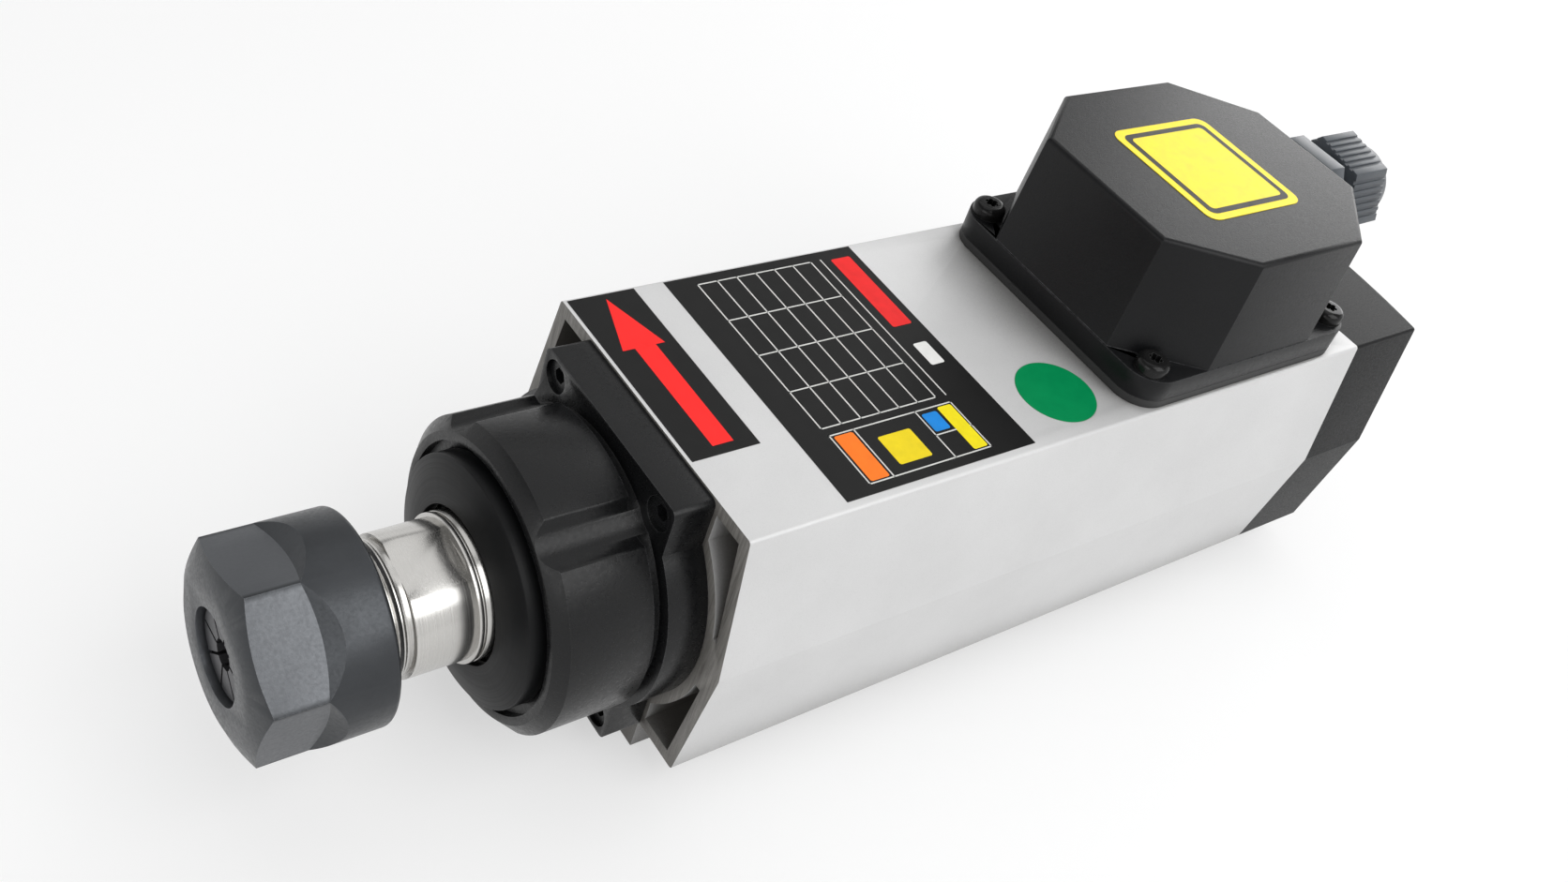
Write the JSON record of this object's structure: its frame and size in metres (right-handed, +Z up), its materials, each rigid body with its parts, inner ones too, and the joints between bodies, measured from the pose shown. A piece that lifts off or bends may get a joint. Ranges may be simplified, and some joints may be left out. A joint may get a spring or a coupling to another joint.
{
  "type": "motor spindle",
  "caption": "Air-cooled square motor spindle with spring-collet nose, terminal box and cable gland.",
  "frame": {"origin": "centre of the foot's resting face, midway along the housing extrusion", "axes": "+X along the spindle from the nose towards the fan, +Z up from the foot to the terminal box"},
  "size_m": [0.2976, 0.08, 0.112],
  "materials": {
    "silver_aluminium": "matte anodised",
    "cast_aluminium": "as cast",
    "black_casting": "semi-gloss black paint",
    "bright_steel": "ground",
    "bearing_steel": "polished",
    "bright_screws": "zinc plated",
    "core_steel": "laminated",
    "copper_winding": "varnished wire",
    "black_rubber": "moulded",
    "pale_plastic": "moulded",
    "brass_terminals": "plain",
    "cage_brass": "machined",
    "black_cover": "matte black",
    "black_box": "fine-grained black",
    "black_screws": "black oxide",
    "grey_plastic": "moulded",
    "black_plastic": "moulded",
    "grey_steel": "ground",
    "black_nut": "black oxide"
  },
  "bodies": {
    "housing": {"body_extrusion": "silver_aluminium", "front_housing": "black_casting", "front_flange_screws": "black_screws", "front_bearing_cap": "black_nut", "front_bearing_a_outer_race": "bearing_steel", "front_bearing_b_outer_race": "bearing_steel", "outer_spacer": "bright_steel", "stator_core": "core_steel", "stator_windings": "copper_winding", "lead_grommet": "black_rubber", "terminal_block": "pale_plastic", "terminal_screws": "brass_terminals", "block_screws": "bright_screws", "earth_screw": "bright_screws", "rear_shield": "cast_aluminium", "rear_bearing_outer_race": "bearing_steel", "preload_spring": "bright_steel", "rear_cover": "black_cover", "rear_tie_screws": "bright_screws", "box_gasket": "black_rubber", "terminal_box_cover": "black_box", "box_cover_screws": "black_screws", "gland_washer": "black_rubber", "gland_body": "grey_plastic", "gland_seal": "black_rubber"},
    "rotor": {"spindle_shaft": "bright_steel", "slinger_ring": "bright_steel", "front_bearing_a_inner_race": "bearing_steel", "front_bearing_b_inner_race": "bearing_steel", "inner_spacer": "bright_steel", "bearing_locknut": "bright_steel", "rotor_core": "core_steel", "rotor_end_rings": "cast_aluminium", "rear_bearing_inner_race": "bearing_steel", "cooling_fan": "black_plastic", "fan_clip": "bright_steel"},
    "front_cage_a": {"front_bearing_a_cage": "cage_brass", "front_bearing_a_balls": "bearing_steel"},
    "front_cage_b": {"front_bearing_b_cage": "cage_brass", "front_bearing_b_balls": "bearing_steel"},
    "rear_cage": {"rear_bearing_cage": "cage_brass", "rear_bearing_balls": "bearing_steel"},
    "collet_body": {"collet": "grey_steel"},
    "nut": {"collet_nut": "black_nut", "collet_extractor_ring": "grey_steel"},
    "gland_slide": {"gland_pressure_ring": "grey_plastic"},
    "gland_cap": {"gland_nut": "grey_plastic"}
  },
  "joints": [
    {"name": "spindle_spin", "type": "hinge", "parent": "housing", "child": "rotor", "pos_m": [0, 0, 0.0415], "axis": [1, 0, 0], "continuous": true},
    {"name": "front_cage_a_spin", "type": "hinge", "parent": "housing", "child": "front_cage_a", "pos_m": [0, 0, 0.0415], "axis": [1, 0, 0], "continuous": true},
    {"name": "front_cage_b_spin", "type": "hinge", "parent": "housing", "child": "front_cage_b", "pos_m": [0, 0, 0.0415], "axis": [1, 0, 0], "continuous": true},
    {"name": "rear_cage_spin", "type": "hinge", "parent": "housing", "child": "rear_cage", "pos_m": [0, 0, 0.0415], "axis": [1, 0, 0], "continuous": true},
    {"name": "collet_slide", "type": "slide", "parent": "rotor", "child": "collet_body", "axis": [-1, 0, 0], "range_m": [0, 0.0075]},
    {"name": "nut_turn", "type": "hinge", "parent": "collet_body", "child": "nut", "pos_m": [-0.1751, 0, 0.0415], "axis": [-1, 0, 0], "range_deg": [0, 1800]},
    {"name": "gland_ring_slide", "type": "slide", "parent": "housing", "child": "gland_slide", "axis": [1, 0, 0], "range_m": [0, 0.0045]},
    {"name": "gland_nut_turn", "type": "hinge", "parent": "gland_slide", "child": "gland_cap", "pos_m": [0.0985, 0, 0.098], "axis": [1, 0, 0], "range_deg": [0, 1080]}
  ],
  "couplings": [
    {"joint": "front_cage_a_spin", "follows": "spindle_spin", "ratio": 0.4139},
    {"joint": "front_cage_b_spin", "follows": "spindle_spin", "ratio": 0.4139},
    {"joint": "rear_cage_spin", "follows": "spindle_spin", "ratio": 0.384},
    {"joint": "collet_slide", "follows": "nut_turn", "m_per_rad": 0.00023873},
    {"joint": "gland_ring_slide", "follows": "gland_nut_turn", "m_per_rad": 0.00023873}
  ]
}
